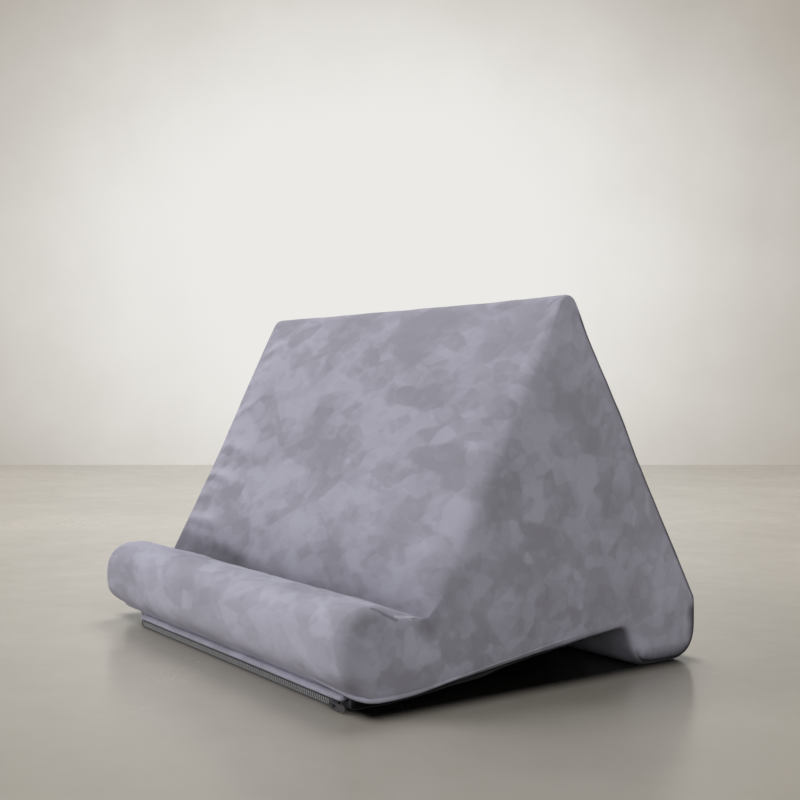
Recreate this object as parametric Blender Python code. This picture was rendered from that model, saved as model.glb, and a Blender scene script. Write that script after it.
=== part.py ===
"""A tablet cushion stand: a foam wedge with a front lip and a rear foot, in a sewn plush cover.

The cover opens with a zip along the foot of the front lip. Lengths are metres and Z is up.
X runs along the cushion and Y from the front lip to the rear foot. The origin is on the floor
below the middle of the cushion. Section sizes called setback are measured backwards from the
line on the floor where the front base begins.
"""
import math
from typing import NamedTuple

import bmesh
import bpy
from mathutils import Matrix, Vector
from mathutils.geometry import delaunay_2d_cdt

# Body of the cushion
BODY_LENGTH = 0.300
LEFT_FLARE = 0.009
FLARE_DROP = 0.125
RIDGE_SETBACK = 0.1272
RIDGE_CORNER_HEIGHT = 0.2085
RIDGE_FILLET = 0.0065
GROOVE_SETBACK = 0.0362
GROOVE_HEIGHT = 0.0419
GROOVE_FILLET = 0.002
FRONT_CROWN = 0.0020
BACK_CROWN = 0.0022
END_CROWN = 0.0035
END_CROWN_SPREAD = 0.040

# Front lip
LIP_REACH = 0.0126
LIP_HEIGHT = 0.0507
LIP_TOP_SETBACK = 0.013
LIP_TOP_FILLET = 0.014
LIP_NOSE_FILLET = 0.017
LIP_CHIN_HEIGHT = 0.0185
LIP_CHIN_FILLET = 0.015

# Front base and the underside that rises to the arch
OPENING_SETBACK = 0.0014
OPENING_HEIGHT = 0.0071
BASE_DEPTH = 0.0256
BASE_FILLET = 0.020
ARCH_SETBACK = 0.171
ARCH_HEIGHT = 0.0238
ARCH_FILLET = 0.007

# Rear foot
REAR_SETBACK = 0.2253
FOOT_DEPTH = 0.0473
FOOT_HEIGHT = 0.0342
FOOT_INNER_FILLET = 0.009
FOOT_REAR_FILLET = 0.017
FOOT_TOP_FILLET = 0.006

# How far each edge of the section is drawn in where it turns into an end panel
RIDGE_END_ROUND = 0.0028
GROOVE_END_ROUND = 0.0048
LIP_END_ROUND = 0.0095
ARCH_END_ROUND = 0.0042
FOOT_END_ROUND = 0.0035

# Beyond the left and the right end of the zip the foot of the cover is lifted off the floor, to a narrow hem
BASE_RUN_MARGIN = 0.0025
HEM_TOP_LIFTS = (0.0056, 0.0046)
HEM_LIFTS = (0.0086, 0.0077)

# The right end, where it differs: the groove fills out towards it, and the slope turns softly into it
GROOVE_RIGHT_FILL = 0.0012
GROOVE_RIGHT_RUN = 0.0120
LIP_TOP_RIGHT_ROUND = 0.0085
LIP_NOSE_RIGHT_ROUND = 0.0080
LIP_CHIN_RIGHT_ROUND = 0.0060
LIP_RIGHT_RUN = 0.0075
SLOPE_RIGHT_SOFTENING = 0.0085

# Cover and foam
COVER_THICKNESS = 0.0015
SEAM_GAP = 0.0004
FOAM_CLEARANCE = 0.0003
FOAM_CUT_GAP = 0.0004
REAR_ROLL_RISE = 0.020
CAP_GRID = 0.016

# Zip
ZIP_END_LEFT = 0.0405
ZIP_END_RIGHT = 0.0165
RUN_CLEARANCE = 0.0003
FLOOR_CLEARANCE = 0.00025
TOOTH_PITCH = 0.0021
TOOTH_WIDTH_SHARE = 0.55
TOOTH_REACH = 0.0007
SPINE_HEIGHT = 0.00035
TEETH_THICKNESS = 0.0015
TAPE_THICKNESS = 0.0005
STOP_LENGTH = 0.0018
SLIDER_LENGTH = 0.008
SLIDER_PLATE = 0.0006
SLIDER_FLANGE = 0.00035
SLIDER_BACK_INSET = 0.0008
SLIDER_TAIL_TAPER = 0.0003
SLIDER_CORNER = 0.0009
DIVIDER_THICKNESS = 0.0003
DIVIDER_LENGTH = 0.0014
BEHIND_SLIDER = 0.00135
BRIDGE_LENGTH = 0.0040
BRIDGE_WALL = 0.0007
BRIDGE_WIDTH = 0.0010
BRIDGE_ROOM = 0.0016
PULL_LENGTH = 0.0115
PULL_THICKNESS = 0.0006
PULL_BAR = 0.0008
PULL_ARM = 0.0009
PULL_WINDOW = 0.0029
PULL_CORNER = 0.0008
WELT_THICKNESS = 0.0010
WELT_TOP_ROOM = 0.0004

# Numbers of steps round the end edges and between them, and shares chosen by hand
END_STEPS = 3
MIDDLE_STEPS = 6
SOFTENING_SHARES = (0, 0.55, 0.85, 1, 1, 1, 1, 1, 0)
FOLD_SHARE = 0.3
WELT_NOSE_SHARE = 0.38

# Worked out from the sizes above
HALF_LENGTH = BODY_LENGTH / 2
MIDDLE_X = (LEFT_FLARE - END_CROWN) / 2
MIDDLE_SETBACK = (REAR_SETBACK - LIP_REACH) / 2
ROW_HEIGHT = SPINE_HEIGHT + TOOTH_REACH
CHAIN_HALF = DIVIDER_THICKNESS / 2 + RUN_CLEARANCE + ROW_HEIGHT
SLIDER_HALF = CHAIN_HALF + RUN_CLEARANCE + SLIDER_FLANGE
SLIDER_REACH = TEETH_THICKNESS / 2 + RUN_CLEARANCE + SLIDER_PLATE
CHAIN_HEIGHT = FLOOR_CLEARANCE + SLIDER_HALF
CHAIN_Y = OPENING_SETBACK - BEHIND_SLIDER - SLIDER_REACH - MIDDLE_SETBACK
OPENING_LEFT = MIDDLE_X - HALF_LENGTH + ZIP_END_LEFT
OPENING_RIGHT = MIDDLE_X + HALF_LENGTH - ZIP_END_RIGHT
ZIP_LEFT = OPENING_LEFT + FOAM_CUT_GAP
ZIP_RIGHT = OPENING_RIGHT - FOAM_CUT_GAP
STOP_LEFT = ZIP_RIGHT - STOP_LENGTH
SLIDER_X = STOP_LEFT - RUN_CLEARANCE - SLIDER_LENGTH / 2
HINGE_REACH = SLIDER_REACH + BRIDGE_ROOM / 2

PLUSH = ("plush", (0.36, 0.355, 0.41), 0.95, 0.0)
UNDER_CLOTH = ("under_cloth", (0.20, 0.20, 0.23), 0.95, 0.0)
FOAM = ("foam", (0.80, 0.76, 0.64), 0.90, 0.0)
TAPE = ("zip_tape", (0.42, 0.42, 0.46), 0.85, 0.0)
TEETH = ("zip_teeth", (0.33, 0.33, 0.35), 0.45, 0.0)
ZIP_METAL = ("zip_metal", (0.16, 0.16, 0.17), 0.40, 1.0)


class Corner(NamedTuple):
    """A corner of the section, and the panel of the straight run that follows it.

    Lifts is how far the corner rises at the left and at the right end. Right is what it is drawn in
    by at the right end and how far from there that begins. Softening is what the middle of the run
    is drawn in by at the right end.
    """
    setback: float
    height: float
    fillet: float
    arc_steps: int
    run_steps: int
    end_round: float
    crown: float
    panel: str
    lifts: tuple = ()
    right: tuple = ()
    softening: float = 0


class SectionPoint(NamedTuple):
    """A point of the section, with the panel of the strip between it and the next one."""
    place: Vector
    crown: float
    panel: str
    end_rounds: tuple
    end_runs: tuple
    lifted: float


CORNERS = [
    Corner(RIDGE_SETBACK, RIDGE_CORNER_HEIGHT, RIDGE_FILLET, 4, 8, RIDGE_END_ROUND, FRONT_CROWN, "front",
           softening=SLOPE_RIGHT_SOFTENING),
    Corner(GROOVE_SETBACK, GROOVE_HEIGHT, GROOVE_FILLET, 2, 2, GROOVE_END_ROUND, 0, "lip",
           right=(-GROOVE_RIGHT_FILL, GROOVE_RIGHT_RUN)),
    Corner(LIP_TOP_SETBACK, LIP_HEIGHT, LIP_TOP_FILLET, 2, 1, LIP_END_ROUND, 0, "lip",
           right=(LIP_TOP_RIGHT_ROUND, LIP_TOP_RIGHT_ROUND)),
    Corner(-LIP_REACH, LIP_HEIGHT, LIP_NOSE_FILLET, 5, 1, LIP_END_ROUND, 0, "lip",
           right=(LIP_NOSE_RIGHT_ROUND, LIP_RIGHT_RUN)),
    Corner(-LIP_REACH, LIP_CHIN_HEIGHT, LIP_CHIN_FILLET, 3, 1, LIP_END_ROUND, 0, "lip",
           right=(LIP_CHIN_RIGHT_ROUND, LIP_RIGHT_RUN)),
    Corner(OPENING_SETBACK, OPENING_HEIGHT, 0, 0, 1, 0, 0, "opening", HEM_TOP_LIFTS),
    Corner(OPENING_SETBACK, 0, 0, 0, 2, 0, 0, "underside", HEM_LIFTS),
    Corner(OPENING_SETBACK + BASE_DEPTH, 0, BASE_FILLET, 2, 6, 0, 0, "underside", HEM_LIFTS),
    Corner(ARCH_SETBACK, ARCH_HEIGHT, ARCH_FILLET, 4, 1, ARCH_END_ROUND, 0, "foot"),
    Corner(REAR_SETBACK - FOOT_DEPTH, 0, FOOT_INNER_FILLET, 3, 1, FOOT_END_ROUND, 0, "foot"),
    Corner(REAR_SETBACK, 0, FOOT_REAR_FILLET, 5, 1, FOOT_END_ROUND, 0, "foot"),
    Corner(REAR_SETBACK, FOOT_HEIGHT, FOOT_TOP_FILLET, 2, 7, FOOT_END_ROUND, BACK_CROWN, "back"),
]
END_LEFT, END_RIGHT = "end_left", "end_right"
LEFT, RIGHT = -1, 1


def clear_scene():
    for item in list(bpy.data.objects):
        bpy.data.objects.remove(item, do_unlink=True)


def new_collection(name):
    collection = bpy.data.collections.new(name)
    bpy.context.scene.collection.children.link(collection)
    return collection


def material(finish):
    name, colour, roughness, metallic = finish
    made = bpy.data.materials.get(name)
    if made is None:
        made = bpy.data.materials.new(name)
        made.use_nodes = True
        shader = made.node_tree.nodes["Principled BSDF"]
        shader.inputs["Base Color"].default_value = (*colour, 1.0)
        shader.inputs["Roughness"].default_value = roughness
        shader.inputs["Metallic"].default_value = metallic
    return made


def place_object(name, data, finish, collection, parent=None, location=(0, 0, 0)):
    """Link an object under its parent, which stands unturned, at a place in the whole model."""
    item = bpy.data.objects.new(name, data)
    data.materials.append(material(finish))
    collection.objects.link(item)
    item.parent = parent
    item.location = Vector(location) - (world_place(parent) if parent else Vector())
    return item


def world_place(item):
    place = item.location.copy()
    return place + world_place(item.parent) if item.parent else place


def smooth(mesh):
    mesh.shade_smooth()
    mesh.set_sharp_from_angle(angle=math.radians(40))


# The section of the cushion

def fillet_arc(before, corner, after, radius, steps):
    """Points on the arc that rounds a corner between its two neighbours."""
    if not radius:
        return [corner.copy()]
    back = (before - corner).normalized()
    on = (after - corner).normalized()
    half = back.angle(on) / 2
    centre = corner + (back + on).normalized() * radius / math.sin(half)
    start = corner + back * radius / math.tan(half) - centre
    end = corner + on * radius / math.tan(half) - centre
    turn = math.atan2(start.x * end.y - start.y * end.x, start.dot(end))
    points = []
    for step in range(steps + 1):
        angle = turn * step / steps
        points.append(centre + Vector((start.x * math.cos(angle) - start.y * math.sin(angle),
                                       start.x * math.sin(angle) + start.y * math.cos(angle))))
    return points


def end_turns(corner):
    """What a corner is drawn in by at each end, how far from each it begins, and 1 where it is lifted."""
    if corner.lifts:
        return (*corner.lifts, ZIP_END_LEFT - BASE_RUN_MARGIN, ZIP_END_RIGHT - BASE_RUN_MARGIN, 1)
    right_round, right_run = corner.right or (corner.end_round, corner.end_round)
    return corner.end_round, right_round, corner.end_round, right_run, 0


def mixed(start, end, share):
    return start + (end - start) * share


def table_value(shares, place):
    """A value from an evenly spaced table, at a place from 0 to 1 along it."""
    step = min(int(place * (len(shares) - 1)), len(shares) - 2)
    return mixed(shares[step], shares[step + 1], place * (len(shares) - 1) - step)


def section_points():
    """The closed outline of the cushion, from the ridge down the front and round to the back."""
    places = [Vector((corner.setback - MIDDLE_SETBACK, corner.height)) for corner in CORNERS]
    count = len(CORNERS)
    arcs = [fillet_arc(places[i - 1], places[i], places[(i + 1) % count], CORNERS[i].fillet,
                       CORNERS[i].arc_steps) for i in range(count)]
    points = []
    for i, corner in enumerate(CORNERS):
        following = CORNERS[(i + 1) % count]
        before = CORNERS[i - 1].panel if i else corner.panel
        for step, place in enumerate(arcs[i][:-1]):
            panel = before if step < corner.arc_steps / 2 else corner.panel
            turns = end_turns(corner)
            points.append(SectionPoint(place, 0, panel, turns[:2], turns[2:4], turns[4]))
        start, end = arcs[i][-1], arcs[(i + 1) % count][0]
        for step in range(corner.run_steps):
            share = step / corner.run_steps
            turns = [mixed(a, b, share) for a, b in zip(end_turns(corner), end_turns(following))]
            if corner.softening:
                turns[1] = mixed(turns[1], corner.softening, table_value(SOFTENING_SHARES, share))
                turns[3] = max(turns[3], turns[1])
            crown = corner.crown * 4 * share * (1 - share)
            points.append(SectionPoint(start.lerp(end, share), crown, corner.panel, turns[:2], turns[2:4],
                                       turns[4]))
    return points


def section_normals(points):
    """Unit normals of the outline that point away from the cushion."""
    normals = []
    for i, point in enumerate(points):
        along = (points[(i + 1) % len(points)].place - point.place).normalized()
        along += (point.place - points[i - 1].place).normalized()
        normals.append(Vector((along.y, -along.x)).normalized())
    return normals


def half_length_at(height, end):
    """How far an end is from the middle of the body. The left end leans out towards the ridge."""
    if end == RIGHT:
        return HALF_LENGTH
    top = RIDGE_CORNER_HEIGHT - RIDGE_FILLET
    share = min(max((height - top + FLARE_DROP) / FLARE_DROP, 0), 1)
    return HALF_LENGTH + LEFT_FLARE * share * share * (3 - 2 * share)


# The skin, a closed surface that every panel and the foam are taken from

def ring_place(point, normal, end, turn):
    """A point of the section where the side of the cushion turns into an end, by an angle.

    The turn is a quarter of an ellipse. The foot of the cover rises through it instead of being drawn in.
    """
    side = 0 if end == LEFT else 1
    x = MIDDLE_X + end * (half_length_at(point.place.y, end) - point.end_runs[side] * (1 - math.sin(turn)))
    outwards = normal.lerp(Vector((0, -1)), point.lifted)
    return bulged(point, outwards, x, point.end_rounds[side] * (1 - math.cos(turn)))


def bulged(point, normal, x, drawn_in=0.0):
    half = half_length_at(point.place.y, RIGHT if x > MIDDLE_X else LEFT)
    out = point.crown * (1 - ((x - MIDDLE_X) / half) ** 4) - drawn_in
    place = point.place + normal * out
    return Vector((x, place.x, place.y))


def skin_rings(points, normals):
    turns = [math.pi / 2 * (1 - step / END_STEPS) for step in range(END_STEPS + 1)]
    rings = [[ring_place(p, n, LEFT, turn) for p, n in zip(points, normals)] for turn in turns]
    for step in range(MIDDLE_STEPS + 1):
        x = OPENING_LEFT + (OPENING_RIGHT - OPENING_LEFT) * step / MIDDLE_STEPS
        rings.append([bulged(p, n, x) for p, n in zip(points, normals)])
    rings += [[ring_place(p, n, RIGHT, turn) for p, n in zip(points, normals)] for turn in reversed(turns)]
    return rings


def distance_to_outline(place, outline):
    least = math.inf
    for i, start in enumerate(outline):
        along = outline[(i + 1) % len(outline)] - start
        share = min(max((place - start).dot(along) / along.length_squared, 0), 1)
        least = min(least, (place - start - along * share).length)
    return least


def inside_outline(place, outline):
    inside = False
    for i, start in enumerate(outline):
        end = outline[(i + 1) % len(outline)]
        if (start.y > place.y) != (end.y > place.y):
            if place.x < start.x + (end.x - start.x) * (place.y - start.y) / (end.y - start.y):
                inside = not inside
    return inside


def end_cap_layout(ring):
    """Flat triangles over the outline of an end, with a loose grid of points inside it."""
    outline = [Vector((place.y, place.z)) for place in ring]
    low = Vector((min(p.x for p in outline), min(p.y for p in outline)))
    high = Vector((max(p.x for p in outline), max(p.y for p in outline)))
    columns = math.ceil((high.x - low.x) / CAP_GRID)
    rows = math.ceil((high.y - low.y) / CAP_GRID)
    places = list(outline)
    for column in range(columns):
        for row in range(rows):
            place = low + Vector(((column + (row % 2) / 2) * CAP_GRID, (row + 1 / 2) * CAP_GRID))
            if inside_outline(place, outline) and distance_to_outline(place, outline) > CAP_GRID / 2:
                places.append(place)
    edges = [(i, (i + 1) % len(outline)) for i in range(len(outline))]
    made, _, faces, origins, _, _ = delaunay_2d_cdt(places, edges, [], 1, SEAM_GAP / 1000)
    return outline, made, faces, [sources[0] if sources else None for sources in origins]


def add_end_cap(bm, panel_of, ring, ring_verts, end, name):
    outline, made, faces, origins = end_cap_layout(ring)
    verts = []
    for place, origin in zip(made, origins):
        if origin is not None and origin < len(outline):
            verts.append(ring_verts[origin])
            continue
        depth = min(distance_to_outline(place, outline) / END_CROWN_SPREAD, 1)
        x = MIDDLE_X + end * (half_length_at(place.y, end) + END_CROWN * (1 - (1 - depth) ** 2))
        verts.append(bm.verts.new((x, place.x, place.y)))
    for face in faces:
        bm.faces.new([verts[i] for i in face])[panel_of] = PANEL_NUMBERS[name]


PANEL_NUMBERS = {name: number for number, name in enumerate(
    ("open", "front", "lip", "underside", "foot", "back", END_LEFT, END_RIGHT))}
END_SEAM_STEP = END_STEPS - 1


def build_skin():
    """The outer surface of the cover as one closed mesh, each face marked with its panel."""
    points = section_points()
    rings = skin_rings(points, section_normals(points))
    bm = bmesh.new()
    panel_of = bm.faces.layers.int.new("panel")
    verts = [[bm.verts.new(place) for place in ring] for ring in rings]
    last = len(rings) - 1
    for r in range(last):
        for i, point in enumerate(points):
            j = (i + 1) % len(points)
            face = bm.faces.new((verts[r][i], verts[r + 1][i], verts[r + 1][j], verts[r][j]))
            name = point.panel
            if r < END_SEAM_STEP:
                name = END_LEFT
            elif r >= last - END_SEAM_STEP:
                name = END_RIGHT
            elif name == "opening":
                name = "open" if END_STEPS < r < last - END_STEPS - 1 else "lip"
            face[panel_of] = PANEL_NUMBERS[name]
    add_end_cap(bm, panel_of, rings[0], verts[0], LEFT, END_LEFT)
    add_end_cap(bm, panel_of, rings[-1], verts[-1], RIGHT, END_RIGHT)
    bmesh.ops.recalc_face_normals(bm, faces=bm.faces)
    inward = bm.verts.layers.float_vector.new("inward")
    for vert in bm.verts:
        vert[inward] = -vert.normal * min(vert.calc_shell_factor(), 3 / 2)
    return bm


def draw_in_borders(bm):
    """Move the border of an open panel back by half a seam gap, along its own surface."""
    moves = {}
    for edge in bm.edges:
        if not edge.is_boundary:
            continue
        loop = edge.link_loops[0]
        along = (loop.link_loop_next.vert.co - loop.vert.co).normalized()
        inwards = loop.face.normal.cross(along)
        for vert in edge.verts:
            moves.setdefault(vert, []).append(inwards)
    for vert, directions in moves.items():
        total = sum(directions, Vector())
        length = max(total.length, 1 / 2)
        vert.co += total * (SEAM_GAP / 2) * len(directions) / (length * length)


def cover_panel(name, skin, panel, collection, parent):
    """A sewn panel: its part of the skin, thickened along normals it shares with its neighbours."""
    bm = skin.copy()
    panel_of = bm.faces.layers.int["panel"]
    others = [face for face in bm.faces if face[panel_of] != PANEL_NUMBERS[panel]]
    bmesh.ops.delete(bm, geom=others, context="FACES")
    draw_in_borders(bm)
    inward = bm.verts.layers.float_vector["inward"]
    result = bmesh.ops.extrude_face_region(bm, geom=list(bm.faces), use_keep_orig=True)
    for item in result["geom"]:
        if isinstance(item, bmesh.types.BMVert):
            item.co += item[inward] * COVER_THICKNESS
    bmesh.ops.recalc_face_normals(bm, faces=bm.faces)
    mesh = bpy.data.meshes.new(name)
    bm.to_mesh(mesh)
    bm.free()
    smooth(mesh)
    return place_object(name, mesh, UNDER_CLOTH if panel == "underside" else PLUSH, collection, parent)


def section_place(setback, height):
    return Vector((0, setback - MIDDLE_SETBACK, height))


def foam_block(name, skin, cuts, collection, parent):
    """Foam that fills the cover, kept on one side of each cutting plane."""
    bm = skin.copy()
    inward = bm.verts.layers.float_vector["inward"]
    for vert in bm.verts:
        vert.co += vert[inward] * (COVER_THICKNESS + FOAM_CLEARANCE)
    for start, end in cuts:
        normal = Vector((0, start.z - end.z, end.y - start.y)).normalized()
        cut = bmesh.ops.bisect_plane(bm, geom=[*bm.verts, *bm.edges, *bm.faces],
                                     plane_co=start - normal * FOAM_CUT_GAP / 2, plane_no=normal,
                                     clear_outer=True)
        rim = [item for item in cut["geom_cut"] if isinstance(item, bmesh.types.BMEdge)]
        bmesh.ops.contextual_create(bm, geom=rim)
    bmesh.ops.recalc_face_normals(bm, faces=bm.faces)
    mesh = bpy.data.meshes.new(name)
    bm.to_mesh(mesh)
    bm.free()
    smooth(mesh)
    return place_object(name, mesh, FOAM, collection, parent)


# The zip

def outline_object(name, loops, half_depth, finish, collection, parent, location, rotation):
    """A flat outline, with any windows in it, made as thick as twice its half depth."""
    curve = bpy.data.curves.new(name, "CURVE")
    curve.dimensions = "2D"
    curve.fill_mode = "BOTH"
    curve.extrude = half_depth
    for loop in loops:
        spline = curve.splines.new("POLY")
        spline.points.add(len(loop) - 1)
        for point, place in zip(spline.points, loop):
            point.co = (place[0], place[1], 0, 1)
        spline.use_cyclic_u = True
    item = place_object(name, curve, finish, collection, parent, location)
    item.rotation_euler = rotation
    return item


def ribbon(path, thickness):
    """The outline of a strip of cloth whose middle follows a path in its section."""
    left, right = [], []
    for i, place in enumerate(path):
        along = Vector((0, 0))
        if i:
            along += (place - path[i - 1]).normalized()
        if i < len(path) - 1:
            along += (path[i + 1] - place).normalized()
        side = Vector((-along.y, along.x)).normalized() * thickness / 2
        left.append(place + side)
        right.append(place - side)
    return left + right[::-1]


STAND_UP = (math.pi / 2, 0, 0)
SWEEP_ALONG = (math.pi / 2, 0, math.pi / 2)


def strip_along(name, path, thickness, finish, collection, parent):
    """A strip between the ends of the zip, from a path of places in the section."""
    middle = Vector(((ZIP_LEFT + ZIP_RIGHT) / 2, 0, 0))
    return outline_object(name, [ribbon([Vector(place) for place in path], thickness)],
                          (ZIP_RIGHT - ZIP_LEFT) / 2, finish, collection, parent, middle, SWEEP_ALONG)


def zip_tapes_and_welt(collection, parent):
    opening_y = OPENING_SETBACK - MIDDLE_SETBACK
    edge = CHAIN_HEIGHT + CHAIN_HALF + RUN_CLEARANCE
    tuck_y = opening_y + COVER_THICKNESS / 2
    seam_height = OPENING_HEIGHT - SEAM_GAP / 2
    welt_tuck = seam_height - WELT_TOP_ROOM - WELT_THICKNESS / 2
    tape_tuck = welt_tuck - (WELT_THICKNESS + TAPE_THICKNESS) / 2 - RUN_CLEARANCE
    fold_y = CHAIN_Y + (tuck_y - CHAIN_Y) * FOLD_SHARE
    fold_height = edge + (tape_tuck - edge) * FOLD_SHARE + SLIDER_FLANGE
    strip_along("zip_tape_upper", [(CHAIN_Y, edge), (CHAIN_Y, edge + SLIDER_FLANGE), (fold_y, fold_height),
                                   (tuck_y, tape_tuck)], TAPE_THICKNESS, TAPE, collection, parent)
    low_edge = CHAIN_HEIGHT - CHAIN_HALF - RUN_CLEARANCE
    tape_bottom = FLOOR_CLEARANCE / 2
    flat = (tape_bottom + low_edge) / 2
    strip_along("zip_tape_lower", [(CHAIN_Y - TAPE_THICKNESS / 2, flat), (opening_y - SEAM_GAP, flat)],
                low_edge - tape_bottom, TAPE, collection, parent)
    nose_height = CHAIN_HEIGHT + SLIDER_HALF + RUN_CLEARANCE + WELT_THICKNESS / 2
    nose_y = CHAIN_Y - TAPE_THICKNESS / 2 - RUN_CLEARANCE - WELT_THICKNESS / 2
    bend_y = nose_y + (opening_y - nose_y) * WELT_NOSE_SHARE
    strip_along("zip_welt", [(nose_y, nose_height), (bend_y, welt_tuck - WELT_THICKNESS / 4),
                             (opening_y, welt_tuck)], WELT_THICKNESS, PLUSH, collection, parent)


def zip_teeth(name, up, first, collection, parent):
    """A row of teeth on its spine, side by side with the other row half a pitch on."""
    spine_edge = CHAIN_HALF
    root = CHAIN_HALF - SPINE_HEIGHT
    tip = CHAIN_HALF - ROW_HEIGHT
    start, end = ZIP_LEFT + STOP_LENGTH + RUN_CLEARANCE, STOP_LEFT - RUN_CLEARANCE
    loop = [(start, up * spine_edge), (start, up * root)]
    x = start + first
    width = TOOTH_PITCH * TOOTH_WIDTH_SHARE
    while x + width < end:
        loop += [(x, up * root), (x, up * tip), (x + width, up * tip), (x + width, up * root)]
        x += TOOTH_PITCH
    loop += [(end, up * root), (end, up * spine_edge)]
    return outline_object(name, [loop], TEETH_THICKNESS / 2, TEETH, collection, parent,
                          (0, CHAIN_Y, CHAIN_HEIGHT), STAND_UP)


def box_mesh(name, size, bevel=0.0):
    """A box round its own middle, with its edges rounded."""
    bm = bmesh.new()
    bmesh.ops.create_cube(bm, size=1)
    bmesh.ops.scale(bm, vec=size, verts=bm.verts)
    if bevel:
        bmesh.ops.bevel(bm, geom=list(bm.edges), offset=bevel, offset_type="OFFSET", segments=3,
                        profile=1 / 2, affect="EDGES")
    mesh = bpy.data.meshes.new(name)
    bm.to_mesh(mesh)
    bm.free()
    return mesh


def zip_stops(collection, parent):
    middle = STOP_LEFT + STOP_LENGTH / 2
    height = CHAIN_HALF - ROW_HEIGHT / 2
    size = (STOP_LENGTH, TEETH_THICKNESS, ROW_HEIGHT)
    for name, up in (("zip_top_stop_upper", 1), ("zip_top_stop_lower", -1)):
        mesh = box_mesh(name, size, ROW_HEIGHT / 4)
        smooth(mesh)
        place_object(name, mesh, ZIP_METAL, collection, parent, (middle, CHAIN_Y, CHAIN_HEIGHT + up * height))
    mesh = box_mesh("zip_bottom_stop", (STOP_LENGTH, TEETH_THICKNESS, 2 * CHAIN_HALF), ROW_HEIGHT / 4)
    smooth(mesh)
    place_object("zip_bottom_stop", mesh, ZIP_METAL, collection, parent,
                 (ZIP_LEFT + STOP_LENGTH / 2, CHAIN_Y, CHAIN_HEIGHT))


def helper(name, mesh, place, cutters):
    """A shape that is only cut from the slider or joined to it."""
    item = bpy.data.objects.new(name, mesh)
    item.location = place
    item.display_type = "WIRE"
    item.hide_render = True
    cutters.objects.link(item)
    return item


def boolean(item, other, operation):
    change = item.modifiers.new(other.name, "BOOLEAN")
    change.operation = operation
    change.object = other
    change.solver = "EXACT"


def plate_outline(half_height):
    """The slider's plate seen from the front, a little narrower at its tail, with round corners."""
    half = SLIDER_LENGTH / 2
    corners = [Vector((-half, half_height - SLIDER_TAIL_TAPER)), Vector((half, half_height)),
               Vector((half, -half_height)), Vector((-half, SLIDER_TAIL_TAPER - half_height))]
    loop = []
    for i, corner in enumerate(corners):
        loop += fillet_arc(corners[i - 1], corner, corners[(i + 1) % 4], SLIDER_CORNER, 3)
    return loop


def extruded_mesh(name, loop, half_depth):
    """A closed mesh from a flat outline stood upright, facing along Y."""
    bm = bmesh.new()
    face = bm.faces.new([bm.verts.new((x, -half_depth, z)) for x, z in loop])
    made = bmesh.ops.extrude_face_region(bm, geom=[face], use_keep_orig=True)
    moved = [item for item in made["geom"] if isinstance(item, bmesh.types.BMVert)]
    bmesh.ops.translate(bm, vec=(0, 2 * half_depth, 0), verts=moved)
    bmesh.ops.recalc_face_normals(bm, faces=bm.faces)
    mesh = bpy.data.meshes.new(name)
    bm.to_mesh(mesh)
    bm.free()
    return mesh


def zip_slider(collection, cutters, parent):
    """A front plate with flanges, a back plate, the divider that joins them and the pull's bridge."""
    place = Vector((SLIDER_X, CHAIN_Y, CHAIN_HEIGHT))
    inner = TEETH_THICKNESS / 2 + RUN_CLEARANCE
    flange_end = TAPE_THICKNESS / 2 + RUN_CLEARANCE
    front_depth = SLIDER_REACH - flange_end
    front = extruded_mesh("zip_slider", plate_outline(SLIDER_HALF), front_depth / 2)
    front.transform(Matrix.Translation((0, -(SLIDER_REACH + flange_end) / 2, 0)))
    slider = place_object("zip_slider", front, ZIP_METAL, collection, parent, place)
    room = 2 * (CHAIN_HALF + RUN_CLEARANCE)
    channel_depth = 2 * (inner - flange_end)
    channel = helper("slider_channel", box_mesh("slider_channel", (2 * SLIDER_LENGTH, channel_depth, room)),
                     place - Vector((0, flange_end, 0)), cutters)
    boolean(slider, channel, "DIFFERENCE")
    back = helper("slider_back_plate", extruded_mesh("slider_back_plate",
                  plate_outline(SLIDER_HALF - SLIDER_BACK_INSET), SLIDER_PLATE / 2),
                  place + Vector((0, inner + SLIDER_PLATE / 2, 0)), cutters)
    divider_depth = 2 * inner + SLIDER_PLATE
    divider = helper("slider_divider",
                     box_mesh("slider_divider", (DIVIDER_LENGTH, divider_depth, DIVIDER_THICKNESS)),
                     place + Vector((SLIDER_LENGTH / 2 - DIVIDER_LENGTH, 0, 0)), cutters)
    boolean(slider, divider, "UNION")
    boolean(slider, back, "UNION")
    boolean(slider, slider_bridge(place, cutters), "UNION")
    return slider


def slider_bridge(place, cutters):
    """The arch on the front plate that the pull's bar turns under."""
    half = BRIDGE_LENGTH / 2
    rise = BRIDGE_ROOM + BRIDGE_WALL
    sunk = SLIDER_PLATE / 2
    slope = BRIDGE_WALL
    loop = [(-half, -sunk), (-half, rise - slope), (slope - half, rise), (half - slope, rise),
            (half, rise - slope), (half, -sunk), (half - BRIDGE_WALL, -sunk),
            (half - BRIDGE_WALL, BRIDGE_ROOM), (BRIDGE_WALL - half, BRIDGE_ROOM), (BRIDGE_WALL - half, -sunk)]
    mesh = extruded_mesh("slider_bridge", loop, BRIDGE_WIDTH / 2)
    bridge = helper("slider_bridge", mesh, place - Vector((0, SLIDER_REACH, 0)), cutters)
    bridge.rotation_euler = (math.pi / 2, 0, 0)
    return bridge


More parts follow.
